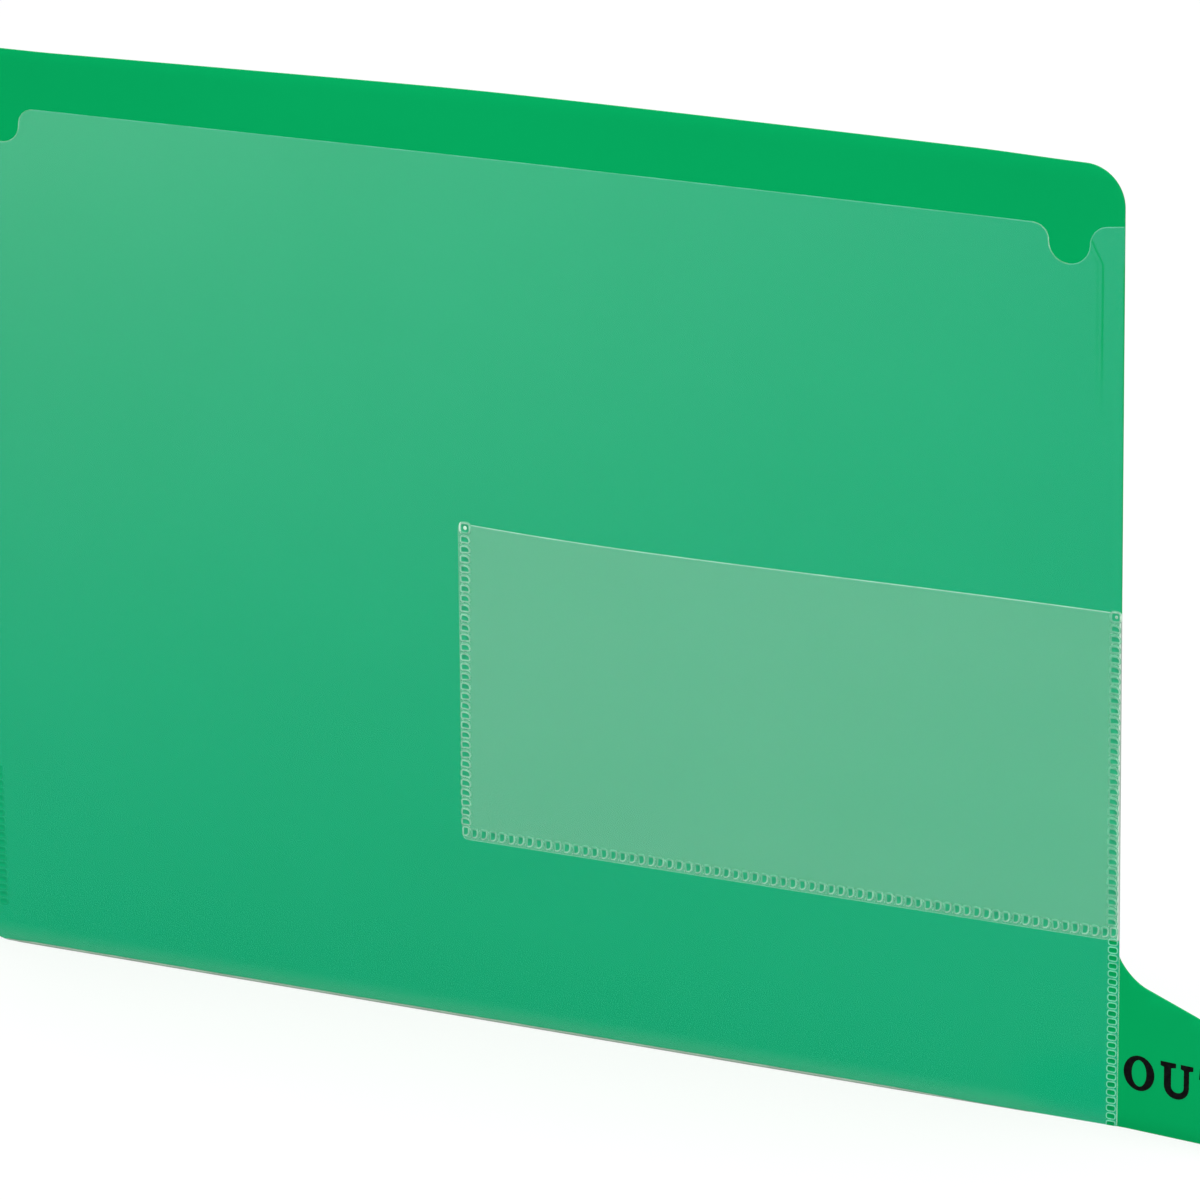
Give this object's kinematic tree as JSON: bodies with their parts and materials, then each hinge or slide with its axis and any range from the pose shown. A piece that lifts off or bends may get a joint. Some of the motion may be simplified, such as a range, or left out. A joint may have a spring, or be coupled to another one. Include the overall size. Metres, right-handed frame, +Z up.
{
  "type": "out guide",
  "caption": "Upright coloured poly out guide with an end tab, a large clear front pocket with notched mouth corners, and a smaller clear card pocket welded on it.",
  "frame": {"origin": "under the middle of the whole guide, tab included, on the plane of its lower edge, halfway through its thickness", "axes": "+X along the width towards the tab, +Z up the sheet, -Y out of the pocket side"},
  "size_m": [0.3538, 0.002, 0.2413],
  "materials": {
    "green_poly": "satin extruded polypropylene sheet, dyed through",
    "clear_film": "clear polypropylene film with a faint haze and light cut edges",
    "card_film": "clear polypropylene film with a stronger haze and pressed weld spots"
  },
  "bodies": {
    "guide": {"guide_sheet": "green_poly", "large_pocket_panel": "clear_film", "large_pocket_left_margin": "clear_film", "large_pocket_right_margin": "clear_film", "small_pocket_left_seam": "card_film", "small_pocket_bottom_seam": "card_film", "small_pocket_right_seam": "card_film"},
    "large_flap": {"large_pocket_flap": "clear_film"},
    "small_flap": {"small_pocket_flap": "card_film"}
  },
  "joints": [
    {"name": "large_pocket_mouth", "type": "hinge", "parent": "guide", "child": "large_flap", "pos_m": [0, -0.00015, 0.1356], "axis": [1, 0, 0], "range_deg": [0, 7], "stiffness_Nm_per_rad": 0.2},
    {"name": "small_pocket_mouth", "type": "hinge", "parent": "guide", "child": "small_flap", "pos_m": [0, -0.00085, 0.0519], "axis": [1, 0, 0], "range_deg": [0, 7], "stiffness_Nm_per_rad": 0.1}
  ]
}
